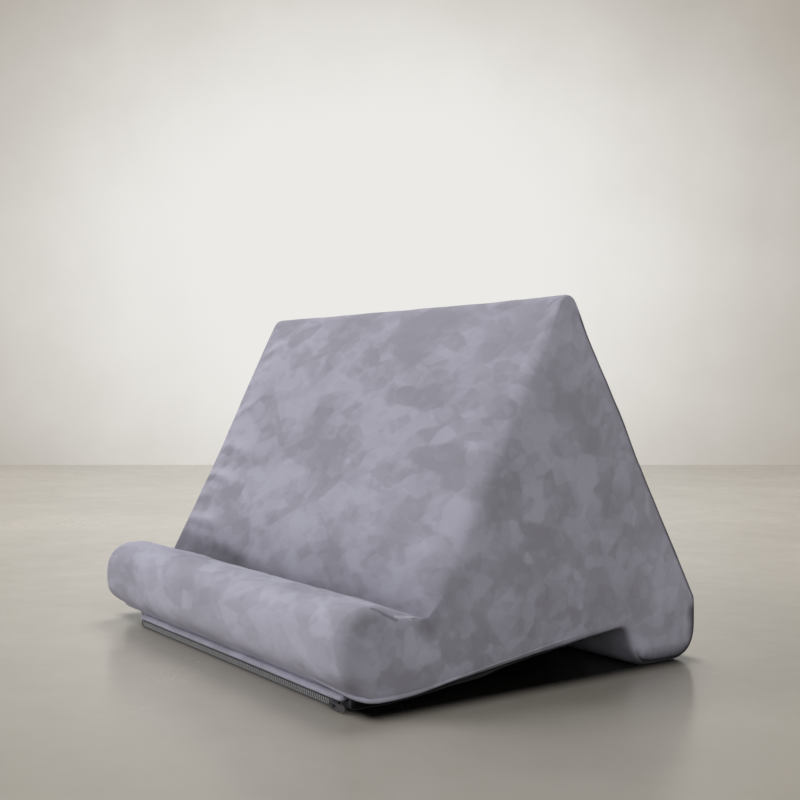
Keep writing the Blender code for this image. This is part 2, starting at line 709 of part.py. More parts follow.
def zip_pull(collection, slider):
    """The pull, a plate with a window that the bridge stands in, turning about its end bar."""
    half_bar = PULL_BAR / 2
    half_width = BRIDGE_WIDTH / 2 + RUN_CLEARANCE + PULL_ARM
    corners = [Vector((-half_bar, half_width)), Vector((PULL_LENGTH, half_width)),
               Vector((PULL_LENGTH, -half_width)), Vector((-half_bar, -half_width))]
    fillets = [PULL_CORNER / 4, PULL_CORNER, PULL_CORNER, PULL_CORNER / 4]
    outer = []
    for i, corner in enumerate(corners):
        outer += fillet_arc(corners[i - 1], corner, corners[(i + 1) % 4], fillets[i], 3)
    window_half = BRIDGE_WIDTH / 2 + RUN_CLEARANCE
    window = [(half_bar, -window_half), (half_bar + PULL_WINDOW, -window_half),
              (half_bar + PULL_WINDOW, window_half), (half_bar, window_half)]
    return outline_object("zip_pull", [outer, window], PULL_THICKNESS / 2, ZIP_METAL, collection, slider,
                          (SLIDER_X, CHAIN_Y - HINGE_REACH, CHAIN_HEIGHT), STAND_UP)


def build():
    clear_scene()
    parts = new_collection("tablet_cushion_stand")
    cutters = new_collection("cutters")
    root = bpy.data.objects.new("cushion", None)
    parts.objects.link(root)
    skin = build_skin()
    for panel in ("front", "lip", "underside", "foot", "back"):
        cover_panel("cover_" + panel + "_panel", skin, panel, parts, root)
    cover_panel("cover_end_panel_left", skin, END_LEFT, parts, root)
    cover_panel("cover_end_panel_right", skin, END_RIGHT, parts, root)
    groove = section_place(GROOVE_SETBACK, GROOVE_HEIGHT)
    base = section_place(OPENING_SETBACK + BASE_DEPTH, 0)
    arch = section_place(ARCH_SETBACK, ARCH_HEIGHT)
    rise = REAR_ROLL_RISE / (RIDGE_CORNER_HEIGHT - FOOT_HEIGHT)
    heel = section_place(mixed(REAR_SETBACK, RIDGE_SETBACK, rise), FOOT_HEIGHT + REAR_ROLL_RISE)
    foam_block("foam_wedge", skin, [(base, groove), (heel, arch)], parts, root)
    foam_block("foam_front_roll", skin, [(groove, base)], parts, root)
    foam_block("foam_rear_roll", skin, [(arch, heel)], parts, root)
    skin.free()
    zip_tapes_and_welt(parts, root)
    zip_teeth("zip_teeth_upper", 1, 0, parts, root)
    zip_teeth("zip_teeth_lower", -1, TOOTH_PITCH / 2, parts, root)
    zip_stops(parts, root)
    slider = zip_slider(parts, cutters, root)
    zip_pull(parts, slider)


build()
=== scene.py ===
import math

import bmesh
import bpy
import numpy as np
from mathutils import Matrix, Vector, noise
from mathutils.geometry import delaunay_2d_cdt


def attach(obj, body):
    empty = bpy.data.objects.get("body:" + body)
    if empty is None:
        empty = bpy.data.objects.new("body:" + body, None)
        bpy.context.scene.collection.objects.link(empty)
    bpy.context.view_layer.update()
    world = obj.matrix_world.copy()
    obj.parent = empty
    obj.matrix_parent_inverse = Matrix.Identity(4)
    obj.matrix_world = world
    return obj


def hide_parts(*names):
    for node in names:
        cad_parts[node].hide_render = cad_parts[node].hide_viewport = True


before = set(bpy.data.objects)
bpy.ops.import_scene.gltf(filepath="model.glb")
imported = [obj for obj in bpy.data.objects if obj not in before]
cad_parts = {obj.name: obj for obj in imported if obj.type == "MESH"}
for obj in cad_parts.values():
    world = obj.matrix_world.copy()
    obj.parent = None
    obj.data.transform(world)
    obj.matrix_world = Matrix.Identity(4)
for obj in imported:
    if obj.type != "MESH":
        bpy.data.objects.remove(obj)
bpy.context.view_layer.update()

# Camera

CAMERA_TILT, CAMERA_HEADING = math.radians(89.11), math.radians(55.30)
camera = bpy.data.objects.new("camera", bpy.data.cameras.new("camera"))
bpy.context.scene.collection.objects.link(camera)
camera.location = (0.61845, -0.40925, 0.1572)
camera.rotation_euler = (CAMERA_TILT, 0, CAMERA_HEADING)
camera.data.lens = 54.007
camera.data.sensor_width = 36
bpy.context.scene.camera = camera

# The section of the cushion, in metres, measured back from the line where the front base begins

HALF_LENGTH = 0.150
MIDDLE_X = 0.00275
MIDDLE_SETBACK = 0.10635
LEFT_FLARE = 0.009
FLARE_TOP = 0.202
FLARE_DROP = 0.125
END_CROWN, END_CROWN_RUN = 0.0032, 0.040
LEFT, RIGHT = -1, 1

# Each corner's setback, height, fillet and steps round it, how far it is drawn in at the left and the right
# end, and over what run at each; the last is 1 where it is lifted to a hem instead of being drawn in
CORNERS = (
    (0.1272, 0.2085, 0.0065, 6, 0.0028, 0.0028, 0.0028, 0.0028, 0),
    (0.0362, 0.0419, 0.0020, 4, 0.0048, -0.0012, 0.0048, 0.0120, 0),
    (0.0130, 0.0507, 0.0140, 4, 0.0095, 0.0085, 0.0095, 0.0085, 0),
    (-0.0126, 0.0507, 0.0170, 7, 0.0095, 0.0080, 0.0095, 0.0075, 0),
    (-0.0126, 0.0185, 0.0150, 5, 0.0095, 0.0060, 0.0095, 0.0075, 0),
    (0.0014, 0.0071, 0.0000, 0, 0.0036, 0.0020, 0.0380, 0.0140, 1),
    (0.0014, 0.0000, 0.0000, 0, 0.0088, 0.0077, 0.0380, 0.0140, 1),
    (0.0270, 0.0000, 0.0200, 2, 0.0088, 0.0077, 0.0380, 0.0140, 1),
    (0.1710, 0.0238, 0.0070, 5, 0.0042, 0.0042, 0.0042, 0.0042, 0),
    (0.1780, 0.0000, 0.0090, 5, 0.0035, 0.0035, 0.0035, 0.0035, 0),
    (0.2253, 0.0000, 0.0170, 7, 0.0035, 0.0035, 0.0035, 0.0035, 0),
    (0.2253, 0.0342, 0.0060, 4, 0.0035, 0.0035, 0.0035, 0.0035, 0),
)
SLOPE_SOFTENING = 0.0085
SOFTENING_SHARES = (0, 0.55, 0.85, 1, 1, 1, 1, 1, 0)
RUN_SPACING = 0.0045
LENGTH_SPACING = 0.0045
CAP_SPACING = 0.0048
CAP_CLEARANCE = 0.6 * CAP_SPACING
END_STEPS = 5
FOOT_STEPS = (0, 0.2, 0.4, 0.6, 0.8, 1)
FOOT_RUNS = (1, 0.82, 0.48, 0.22, 0.07, 0)
FOOT_LIFTS = (0, 0.85, 1, 1, 1, 1)
SWELL_LIMIT = 0.0030
SEAM_RING = 1
# How dark the painted shade down the back edge is, where its rounding turns away from the light, from the end
# inwards.
# It takes in the section's places beyond BACK_Y that are above BACK_HEIGHT or beyond FOOT_BACK_Y, and fades
# out under the foot, beyond FOOT_FRONT_Y
PAINTED_EDGE_SHADE = (0.0, 0.6, 0.9, 0.9, 0.65, 0.3)
BACK_Y, BACK_HEIGHT = 0.030, 0.105
FOOT_BACK_Y, FOOT_FRONT_Y = 0.075, 0.0665
# Painted shade along the foot's bottom edge, where its contact shadow falls: how high it reaches at the
# foot's front corner and elsewhere, and how dark it is
FOOT_SHADE_TOP, FOOT_TOP = 0.010, 0.030
FOOT_PAINTED_SHADE = 0.6


def rounded_corner(before, corner, after, radius, steps):
    if not radius:
        return [corner.copy()]
    back, on = (before - corner).normalized(), (after - corner).normalized()
    half = back.angle(on) / 2
    centre = corner + (back + on).normalized() * radius / math.sin(half)
    start = corner + back * radius / math.tan(half) - centre
    end = corner + on * radius / math.tan(half) - centre
    turn = math.atan2(start.x * end.y - start.y * end.x, start.dot(end))
    points = []
    for step in range(steps + 1):
        angle = turn * step / steps
        points.append(centre + Vector((start.x * math.cos(angle) - start.y * math.sin(angle),
                                       start.x * math.sin(angle) + start.y * math.cos(angle))))
    return points


def cushion_section():
    """Places round the section with how each is drawn in at the two ends, as the table of corners has it."""
    places = [Vector((c[0] - MIDDLE_SETBACK, c[1])) for c in CORNERS]
    count = len(CORNERS)
    arcs = [rounded_corner(places[i - 1], places[i], places[(i + 1) % count], CORNERS[i][2], CORNERS[i][3])
            for i in range(count)]
    points, ends = [], []
    for i in range(count):
        here, following = np.array(CORNERS[i][4:]), np.array(CORNERS[(i + 1) % count][4:])
        for place in arcs[i][:-1]:
            points.append(place)
            ends.append(here)
        start, end = arcs[i][-1], arcs[(i + 1) % count][0]
        steps = max(1, round((end - start).length / RUN_SPACING))
        for step in range(steps):
            share = step / steps
            turns = here + (following - here) * share
            if i == 0:
                softened = np.interp(share, np.linspace(0, 1, len(SOFTENING_SHARES)), SOFTENING_SHARES)
                turns[1] += (SLOPE_SOFTENING - turns[1]) * softened
                turns[3] = max(turns[3], turns[1])
            points.append(start.lerp(end, share))
            ends.append(turns)
    return np.array([tuple(p) for p in points]), np.array(ends)


def outward_normals(points):
    along = np.roll(points, -1, axis=0) - np.roll(points, 1, axis=0)
    normals = np.stack([along[:, 1], -along[:, 0]], -1)
    return normals / np.linalg.norm(normals, axis=1, keepdims=True)


def half_length(height, end):
    if end == RIGHT:
        return np.full_like(height, HALF_LENGTH)
    share = np.clip((height - FLARE_TOP + FLARE_DROP) / FLARE_DROP, 0, 1)
    return HALF_LENGTH + LEFT_FLARE * share * share * (3 - 2 * share)


def distance_to_line(places, line):
    """How far places in the section are from a closed line."""
    least = np.full(len(places), np.inf)
    for start, end in zip(line, np.roll(line, -1, axis=0)):
        along = end - start
        share = np.clip((places - start) @ along / (along @ along), 0, 1)
        least = np.minimum(least, np.linalg.norm(places - start - share[:, None] * along, axis=1))
    return least


def inside_line(places, line):
    inside = np.zeros(len(places), bool)
    for start, end in zip(line, np.roll(line, -1, axis=0)):
        crosses = (start[1] > places[:, 1]) != (end[1] > places[:, 1])
        rise = end[1] - start[1] or 1e-12
        inside ^= crosses & (places[:, 0] < start[0] + (end[0] - start[0]) * (places[:, 1] - start[1]) / rise)
    return inside


def stuffed_cushion():
    """The closed cover before it is stuffed."""
    section, ends = cushion_section()
    normals = outward_normals(section)
    rings = []

    def ring(end, turn):
        side, step, lifted = (0 if end == LEFT else 1), turn / (math.pi / 2), ends[:, 4]
        short = (1 - math.sin(turn)) * (1 - lifted) + np.interp(step, FOOT_STEPS, FOOT_RUNS) * lifted
        depth = (1 - math.cos(turn)) * (1 - lifted) + np.interp(step, FOOT_STEPS, FOOT_LIFTS) * lifted
        x = MIDDLE_X + end * (half_length(section[:, 1], end) - ends[:, 2 + side] * short)
        inwards = -normals * (1 - lifted[:, None]) + lifted[:, None] * (0, 1)
        rings.append(np.column_stack([x, section + inwards * (ends[:, side] * depth)[:, None]]))

    turns = [math.pi / 2 * (1 - step / END_STEPS) for step in range(END_STEPS + 1)]
    for turn in turns:
        ring(LEFT, turn)
    left = rings[-1][:, 0].copy()
    ring(RIGHT, 0)
    right = rings.pop()[:, 0]
    steps = round(2 * HALF_LENGTH / LENGTH_SPACING)
    for step in range(1, steps):
        share = step / steps
        rings.append(np.column_stack([left + (right - left) * share, section]))
    for turn in reversed(turns):
        ring(RIGHT, turn)
    places = [tuple(p) for r in rings for p in r]
    around = len(section)
    faces = []
    for r in range(len(rings) - 1):
        for i in range(around):
            j = (i + 1) % around
            faces.append((r * around + i, (r + 1) * around + i, (r + 1) * around + j, r * around + j))
    for end, first in ((LEFT, 0), (RIGHT, (len(rings) - 1) * around)):
        line = np.array(places[first:first + around])[:, 1:]
        low, high = line.min(0), line.max(0)
        columns, rows = np.ceil((high - low) / CAP_SPACING).astype(int)
        grid = np.array([(low[0] + (c + (r % 2) / 2) * CAP_SPACING, low[1] + (r + 0.5) * CAP_SPACING)
                         for c in range(columns) for r in range(rows)])
        grid = grid[inside_line(grid, line)]
        grid = grid[distance_to_line(grid, line) > CAP_CLEARANCE]
        edges = [(i, (i + 1) % around) for i in range(around)]
        made, _, triangles, origins, _, _ = delaunay_2d_cdt([Vector(p) for p in np.vstack([line, grid])],
                                                            edges, [], 1, 1e-7)
        index = {}
        for k, (place, sources) in enumerate(zip(made, origins)):
            if sources and sources[0] < around:
                index[k] = first + sources[0]
                continue
            inner = np.array([tuple(place)])
            share = np.clip(distance_to_line(inner, line) / END_CROWN_RUN, 0, 1)
            bulge = END_CROWN * (1 - (1 - share) ** 2)
            x = MIDDLE_X + end * (half_length(inner[:, 1], end) + bulge)
            index[k] = len(places)
            places.append((x[0], place.x, place.y))
        faces += [tuple(index[k] for k in face) for face in triangles]
    seam, shade = np.zeros(len(places)), np.zeros(len(places))
    y, height = section.T
    behind = (y > BACK_Y) & ((y > FOOT_BACK_Y) | (height > BACK_HEIGHT))
    behind = np.maximum(behind, (y > FOOT_FRONT_Y) * np.clip(1 - height / FOOT_SHADE_TOP, 0, 1))
    low = behind * (height < FOOT_TOP)
    # The shade attribute is painted shade: down the back edge, along the foot's bottom edge, and near black
    # on the lifted hems' inner rings, where shadow falls under the hem
    for r in range(END_STEPS + 1):
        for ring_number in (r, len(rings) - 1 - r):
            here = slice(ring_number * around, (ring_number + 1) * around)
            seam[here] = r == SEAM_RING
            painted_edge_shade = behind * PAINTED_EDGE_SHADE[r] + low * FOOT_PAINTED_SHADE * (r <= SEAM_RING)
            shade[here] = np.clip(np.maximum(painted_edge_shade, (ends[:, 4] == 1) & (r > 0)), 0, 1)
    mesh = bpy.data.meshes.new("plush_cushion")
    mesh.from_pydata(places, [], faces)
    mesh.attributes.new("seam", "FLOAT", "POINT").data.foreach_set("value", seam)
    mesh.attributes.new("shade", "FLOAT", "POINT").data.foreach_set("value", shade)
    mesh.attributes.new("place_before", "FLOAT_VECTOR", "POINT").data.foreach_set(
        "vector", np.array(places).ravel())
    turn_outwards(mesh)
    return mesh


def turn_outwards(mesh, merged=False):
    """Points the faces outwards, after doubled points are merged where there may be any."""
    bm = bmesh.new()
    bm.from_mesh(mesh)
    if merged:
        bmesh.ops.remove_doubles(bm, verts=bm.verts, dist=1e-6)
    bmesh.ops.recalc_face_normals(bm, faces=bm.faces)
    bm.to_mesh(mesh)
    bm.free()


def shown(name, data):
    item = bpy.data.objects.new(name, data)
    bpy.context.scene.collection.objects.link(item)
    return item


def finished_mesh(item):
    """The item's mesh with its modifiers worked out."""
    return bpy.data.meshes.new_from_object(item.evaluated_get(bpy.context.evaluated_depsgraph_get()))


def vertex_vectors(mesh, name):
    vectors = np.empty(len(mesh.vertices) * 3)
    mesh.vertices.foreach_get(name, vectors)
    return vectors.reshape(-1, 3)


def move_vertices(mesh, places):
    mesh.vertices.foreach_set("co", np.ascontiguousarray(places, dtype=float).ravel())
    mesh.update()


# Places on the front panel are written as length along X and distance up the slope from the groove

SLOPE_FOOT = np.array([CORNERS[1][0] - MIDDLE_SETBACK, CORNERS[1][1]])
SLOPE_RUN, SLOPE_RISE = 0.0910, 0.1666
SLOPE_ALONG = np.array([SLOPE_RUN, SLOPE_RISE]) / math.hypot(SLOPE_RUN, SLOPE_RISE)
SLOPE_OUT = np.array([-SLOPE_ALONG[1], SLOPE_ALONG[0]])


def front_places(rest):
    across = rest[:, 1:] - SLOPE_FOOT
    return rest[:, 0] - MIDDLE_X, across @ SLOPE_ALONG, across @ SLOPE_OUT


def neighbour_mean(mesh, values, times):
    """Values at the points of a mesh, evened out with their neighbours a number of times."""
    pairs = np.empty(len(mesh.edges) * 2, dtype=np.int64)
    mesh.edges.foreach_get("vertices", pairs)
    a, b = pairs.reshape(-1, 2).T
    count = np.bincount(pairs, minlength=len(values))
    for _ in range(times):
        total = np.bincount(a, values[b], len(values)) + np.bincount(b, values[a], len(values))
        values = (values + total / count) / 2
    return values


def soft_step(values, low, high):
    share = np.clip((values - low) / (high - low), 0, 1)
    return share * share * (3 - 2 * share)


def lip_top(rest):
    """1 on top of the lip, which is worn flat, and 0 away from it."""
    return soft_step(rest[:, 2], 0.030, 0.047) * (1 - soft_step(rest[:, 1], -0.088, -0.076))


STUFFING = {"quality": 5, "mass": 0.3, "tension_stiffness": 12, "compression_stiffness": 12,
            "shear_stiffness": 5, "bending_stiffness": 0.4, "use_pressure": True,
            "uniform_pressure_force": 3, "shrink_min": -0.012, "vertex_group_mass": "held"}
LAST_FRAME, FRAMES_RUN = 20, 16
RIDGE_HEIGHT, CHIN_TOP = 0.196, 0.0135


def stuff(item):
    """Swells the cover with air pressure inside it, held at its seams, by no more than SWELL_LIMIT."""
    mesh = item.data
    rest, normals = vertex_vectors(mesh, "co"), vertex_vectors(mesh, "normal")
    x, up, out = front_places(rest)
    held = item.vertex_groups.new(name="held")
    at_end = np.abs(np.abs(x) - HALF_LENGTH + 0.001) < 0.0035
    at_groove = np.hypot(rest[:, 1] - SLOPE_FOOT[0], rest[:, 2] - SLOPE_FOOT[1]) < 0.004
    at_rest = rest[:, 2] < 0.002
    at_ridge = rest[:, 2] > RIDGE_HEIGHT
    at_chin = (rest[:, 2] < CHIN_TOP) & (rest[:, 1] < SLOPE_FOOT[0] - 0.010)
    for chosen, weight in ((at_end, 0.6), (at_ridge, 0.9), (at_groove, 1.0), (at_rest, 1.0), (at_chin, 1.0)):
        held.add([int(i) for i in np.flatnonzero(chosen)], weight, "REPLACE")
    cloth = item.modifiers.new("stuffing", "CLOTH")
    for name, value in STUFFING.items():
        setattr(cloth.settings, name, value)
    cloth.settings.effector_weights.gravity = 0
    cloth.collision_settings.use_collision = False
    scene = bpy.context.scene
    scene.frame_start, scene.frame_end = 1, LAST_FRAME
    cloth.point_cache.frame_start, cloth.point_cache.frame_end = 1, LAST_FRAME
    for frame_number in range(1, FRAMES_RUN + 1):
        scene.frame_set(frame_number)
    swollen = item.evaluated_get(bpy.context.evaluated_depsgraph_get()).to_mesh()
    outwards = ((vertex_vectors(swollen, "co") - rest) * normals).sum(1)
    item.modifiers.remove(cloth)
    item.vertex_groups.clear()
    scene.frame_set(1)
    outwards = neighbour_mean(mesh, SWELL_LIMIT * np.tanh(np.maximum(outwards, 0) / SWELL_LIMIT), 3)
    outwards[at_rest] = 0
    # It fades where the real cover lies flat: the chin's left, the lip's top, the foot and the back's right
    chin = (rest[:, 2] < 0.040) & (rest[:, 1] < -0.100)
    outwards[chin] *= soft_step(x[chin], -0.150, -0.105)
    outwards *= 1 - 0.95 * lip_top(rest)
    outwards *= 1 - soft_step(rest[:, 1], 0.045, 0.065) * (1 - soft_step(rest[:, 2], 0.004, 0.042))
    outwards *= 1 - 0.75 * soft_step(x, 0.05, 0.14) * soft_step(rest[:, 1], -0.03, 0.03)
    move_vertices(mesh, rest + normals * outwards[:, None])


def subdivided(item):
    """One smooth subdivision, with each point's place before stuffing kept beside it."""
    change = item.modifiers.new("smooth", "SUBSURF")
    change.levels = change.render_levels = 1
    mesh = finished_mesh(item)
    item.modifiers.remove(change)
    item.data = mesh
    mesh.shade_smooth()
    return mesh


def attribute_values(mesh, name, kind, width):
    values = np.empty(len(mesh.vertices) * width)
    mesh.attributes[name].data.foreach_get(kind, values)
    return values.reshape(-1, width) if width > 1 else values


def noise_at(places, size, seed):
    shift = Vector((seed * 7.31, seed * 3.17, seed * 5.93))
    return np.array([noise.noise(Vector(p) / size + shift) for p in places])


# Each pull in the front panel: where it starts and ends, as X and distance up the slope, its width, its
# height and how strongly its crest is painted lighter and its hollow darker, as painted light and shade
PULLS = (
    ((-0.1510, 0.1545), (-0.1130, 0.1615), 0.0030, 0.0004, 0.8),
    ((-0.1510, 0.1300), (-0.1250, 0.1330), 0.0028, 0.0003, 0.5),
    ((-0.1510, 0.1060), (-0.1120, 0.1110), 0.0032, 0.0005, 0.8),
    ((-0.1510, 0.0810), (-0.0560, 0.0700), 0.0032, 0.0004, 0.5),
    ((-0.1510, 0.0588), (-0.0850, 0.0515), 0.0026, 0.0008, 1.2),
    ((-0.1510, 0.0425), (-0.0950, 0.0375), 0.0028, 0.0006, 0.7),
    ((-0.1510, 0.0265), (-0.0600, 0.0190), 0.0030, 0.0009, 1.0),
    ((0.1380, 0.0350), (0.1050, 0.0270), 0.0045, 0.0003, 0.2),
    ((0.1380, 0.0900), (0.1130, 0.0860), 0.0045, 0.0003, 0.2),
)
# The fold behind the lip: how high it reaches up the slope at places along X, how dark its painted shade is
# and how deep
FOLD_X = (-0.150, -0.120, -0.090, -0.060, -0.040, -0.010, 0.030, 0.150)
FOLD_TOP = (0.0165, 0.0138, 0.0124, 0.0096, 0.0078, 0.0050, 0.0040, 0.0040)
FOLD_PAINTED_SHADE = (0.30, 0.34, 0.38, 0.38, 0.26, 0.16, 0.10, 0.05)
FOLD_DEPTH = (0.0016, 0.0020, 0.0018, 0.0014, 0.0008, 0.0003, 0.0, 0.0)
# Where the lip's right end turns away from its front, as heights and places along X
END_TURN_HEIGHTS = (0.011, 0.0183, 0.0257, 0.0327, 0.040)
END_TURN_X = (0.1450, 0.1488, 0.1474, 0.1452, 0.1436)
# The corners that are worked smooth, where the lip's end, its chin and the hem meet and where the foot
# begins, each with the height above the floor below which it is left as it is
SMOOTH_CORNERS = (((0.1490, -0.1080, 0.0095), 0.0045), ((-0.1450, -0.1080, 0.0095), 0.0045),
                  ((0.1500, 0.0730, 0.0050), 0.0002), ((-0.1445, 0.0730, 0.0050), 0.0002))
SMOOTH_REACH, SMOOTH_TIMES = 0.0085, 26


def pulled(x, up, start, end, width):
    """A soft crest with a hollow below it that starts at a seam and fades out along its length."""
    start, end = np.array(start), np.array(end)
    length = np.linalg.norm(end - start)
    along = (end - start) / length
    across = np.array([-along[1], along[0]]) * (1 if along[0] > 0 else -1)
    dx, du = x - start[0], up - start[1]
    share = (dx * along[0] + du * along[1]) / length
    off = (dx * across[0] + du * across[1]) - 0.003 * np.sin(share * 3)
    fade = soft_step(share, -0.15, 0.05) * (1 - soft_step(share, 0.15, 1.0))
    width = width * (1 + 0.5 * np.clip(share, 0, 1))
    return fade * (np.exp(-(off / width) ** 2) - 0.85 * np.exp(-((off + 1.5 * width) / width) ** 2))


def sculpt(mesh):
    """Adds seams, pulls, folds and uneven filling to the stuffed form, and paints light and shade on it."""
    places, normals = vertex_vectors(mesh, "co"), vertex_vectors(mesh, "normal")
    rest = attribute_values(mesh, "place_before", "vector", 3)
    seam, shade = attribute_values(mesh, "seam", "value", 1), attribute_values(mesh, "shade", "value", 1)
    x, up, out = front_places(rest)
    front = (1 - soft_step(np.abs(out), 0.003, 0.008)) * soft_step(up, 0.000, 0.006)
    front *= 1 - soft_step(up, 0.170, 0.186)
    inner = soft_step(HALF_LENGTH - np.abs(x), 0.002, 0.014)
    lift, nap = np.zeros(len(places)), np.zeros(len(places))
    # nap sums the painted light and shade that are kept on the mesh; each pull's crest is painted lighter and
    # its hollow darker
    for *line, height, painted_shading in PULLS:
        profile = pulled(x, up, *line) * front
        lift += profile * height * inner
        nap += painted_shading * (0.30 * np.maximum(profile, 0) + 0.24 * np.minimum(profile, 0))
    on_slope = (1 - soft_step(np.abs(out), 0.002, 0.008)) * soft_step(up, -0.010, -0.002)
    top = np.interp(x, FOLD_X, FOLD_TOP)
    fold = (1 - soft_step(up, top - 0.005, top + 0.004)) * on_slope
    lift -= fold * soft_step(up, 0.0, 0.006) * np.interp(x, FOLD_X, FOLD_DEPTH) * inner
    # Painted shade in the fold behind the lip
    nap -= fold * np.interp(x, FOLD_X, FOLD_PAINTED_SHADE) * (1 + 0.35 * noise_at(rest, 0.012, 5))
    uneven = noise_at(rest, 0.050, 1) * 0.0008 + noise_at(rest, 0.018, 2) * 0.00030
    lift += uneven * (1 - 0.75 * lip_top(rest)) + noise_at(rest, 0.008, 3) * 0.00010
    near_ridge = soft_step(rest[:, 2], 0.180, RIDGE_HEIGHT)
    lift -= seam * (0.00015 + 0.00045 * near_ridge) * (1 + 0.6 * noise_at(rest, 0.009, 4))
    lift *= soft_step(rest[:, 2], 0.001, 0.006)
    places = places + normals * lift[:, None]
    places[:, 2] += 0.0012 * soft_step(x, 0.08, 0.148) * near_ridge
    even = np.stack([neighbour_mean(mesh, places[:, i], SMOOTH_TIMES) for i in range(3)], 1)
    for corner, floor in SMOOTH_CORNERS:
        near = np.exp(-(np.linalg.norm(places - corner, axis=1) / SMOOTH_REACH) ** 2)[:, None]
        near[places[:, 2] < floor] = 0
        places += near * (even - places)
    move_vertices(mesh, places)
    # Painted shade and light, summed in nap: darker on the lip's turned end and low on the slope, and lighter
    # where it faces the light
    turned = soft_step(rest[:, 0] - np.interp(places[:, 2], END_TURN_HEIGHTS, END_TURN_X), -0.0006, 0.0012)
    nap -= 0.15 * turned * (1 - soft_step(places[:, 1], -0.112, -0.080)) * (places[:, 2] > 0.006)
    end_face = soft_step(rest[:, 0], 0.146, 0.152)
    nap += 0.06 * end_face * np.maximum(soft_step(rest[:, 2], 0.10, 0.17), soft_step(rest[:, 1], 0.05, 0.08))
    nap += 0.04 * soft_step(up, 0.11, 0.16) * on_slope * (1 - end_face)
    # The painted shade under the hem stops at the hem's top along the lip's front
    shade *= 1 - (rest[:, 1] < -0.085) * soft_step(places[:, 2], 0.0070, 0.0076)
    nap -= 0.26 * np.exp(-(np.maximum(up, 0) / 0.026) ** 2) * on_slope
    middle = soft_step(x, -0.13, -0.06) * (1 - soft_step(x, 0.125, 0.142))
    nap += 0.07 * soft_step(-places[:, 1], 0.103, 0.113) * middle
    mesh.attributes.new("painted_shading", "FLOAT", "POINT").data.foreach_set("value", nap)
    mesh.attributes["shade"].data.foreach_set("value", shade)


cushion = shown("plush_cushion", stuffed_cushion())
stuff(cushion)
sculpt(subdivided(cushion))

# Materials


class Value:
    """A number, colour or vector on its way through a material. Plain sums on it add Math nodes."""

    def __init__(self, finish, socket):
        self.finish, self.socket = finish, socket

    def maths(self, operation, first, second):
        return self.finish.node("ShaderNodeMath", {"operation": operation}, {0: first, 1: second})

    def __add__(self, other):
        return self.maths("ADD", self, other)

    def __radd__(self, other):
        return self.maths("ADD", other, self)

    def __sub__(self, other):
        return self.maths("SUBTRACT", self, other)

    def __rsub__(self, other):
        return self.maths("SUBTRACT", other, self)

    def __mul__(self, other):
        return self.maths("MULTIPLY", self, other)

    def __rmul__(self, other):
        return self.maths("MULTIPLY", other, self)

    def clamped(self):
        return self.finish.node("ShaderNodeClamp", {}, {"Value": self})

    def stepped(self, low, high):
        """0 below low, 1 above high and a soft step between."""
        return self.finish.node("ShaderNodeMapRange", {"interpolation_type": "SMOOTHSTEP"},
                                {"Value": self, "From Min": low, "From Max": high})


class Finish:
    """A material, written as expressions that end in its shader's sockets."""

    def __init__(self, name, **constants):
        self.material = bpy.data.materials.new(name)
        self.material.use_nodes = True
        self.tree = self.material.node_tree
        self.shader = self.tree.nodes["Principled BSDF"]
        for socket, value in constants.items():
            self.shader.inputs[socket.replace("_", " ")].default_value = value

    def node(self, kind, settings, sockets, output=0):
        made = self.tree.nodes.new(kind)
        for name, value in settings.items():
            setattr(made, name, value)
        for name, value in sockets.items():
            if isinstance(value, Value):
                self.tree.links.new(value.socket, made.inputs[name])
            else:
                made.inputs[name].default_value = value
        return Value(self, made.outputs[output])

    def place(self):
        return self.node("ShaderNodeTexCoord", {}, {}, "Object")

    def grain(self, place, scale, detail, roughness):
        return self.node("ShaderNodeTexNoise", {}, {"Vector": place, "Scale": scale, "Detail": detail,
                                                    "Roughness": roughness}, "Fac")

    def moved(self, place, amount, scale):
        """A place shifted by a soft noise, so that the edges of a pattern wander."""
        wander = self.node("ShaderNodeTexNoise", {},
                           {"Vector": place, "Scale": scale, "Detail": 2.0}, "Color")
        wander = self.scaled(self.vector("SUBTRACT", wander, (0.5, 0.5, 0.5)), amount)
        return self.vector("ADD", place, wander)

    def mixed(self, share, first, second):
        return self.node("ShaderNodeMix", {"data_type": "RGBA"}, {0: share, 6: first, 7: second}, 2)

    def attribute(self, name):
        return self.node("ShaderNodeAttribute", {"attribute_name": name}, {}, "Fac")

    def vector(self, operation, first, second):
        return self.node("ShaderNodeVectorMath", {"operation": operation}, {0: first, 1: second})

    def scaled(self, vector, amount):
        return self.node("ShaderNodeVectorMath", {"operation": "SCALE"}, {0: vector, "Scale": amount})

    def along(self, vector, direction):
        """How far a vector reaches in a direction."""
        return self.node("ShaderNodeVectorMath", {"operation": "DOT_PRODUCT"},
                         {0: vector, 1: tuple(direction)}, "Value")

    def length(self, vector):
        return self.node("ShaderNodeVectorMath", {"operation": "LENGTH"}, {0: vector}, "Value")

    def part(self, vector, axis):
        return self.node("ShaderNodeSeparateXYZ", {}, {0: vector}, axis)

    def stroke(self, place, start, end, inner, outer):
        """1 within the inner distance of a short straight line, fading to 0 at the outer distance."""
        line = Vector(end) - Vector(start)
        offset = self.vector("SUBTRACT", place, tuple(start))
        nearest = self.scaled(tuple(line), self.along(offset, line / line.length_squared).clamped())
        return 1.0 - self.length(self.vector("SUBTRACT", offset, nearest)).stepped(inner, outer)

    def feed(self, socket, value):
        self.tree.links.new(value.socket, self.shader.inputs[socket])

    def bumped(self, height, distance, strength):
        self.feed("Normal", self.node("ShaderNodeBump", {}, {"Height": height, "Distance": distance,
                                                             "Strength": strength}))


def colour(red, green, blue):
    """A colour as it is seen on a screen, 0 to 255, made linear."""
    linear = [c / 255 / 12.92 if c / 255 <= 0.04045 else ((c / 255 + 0.055) / 1.055) ** 2.4
              for c in (red, green, blue)]
    return (*linear, 1.0)
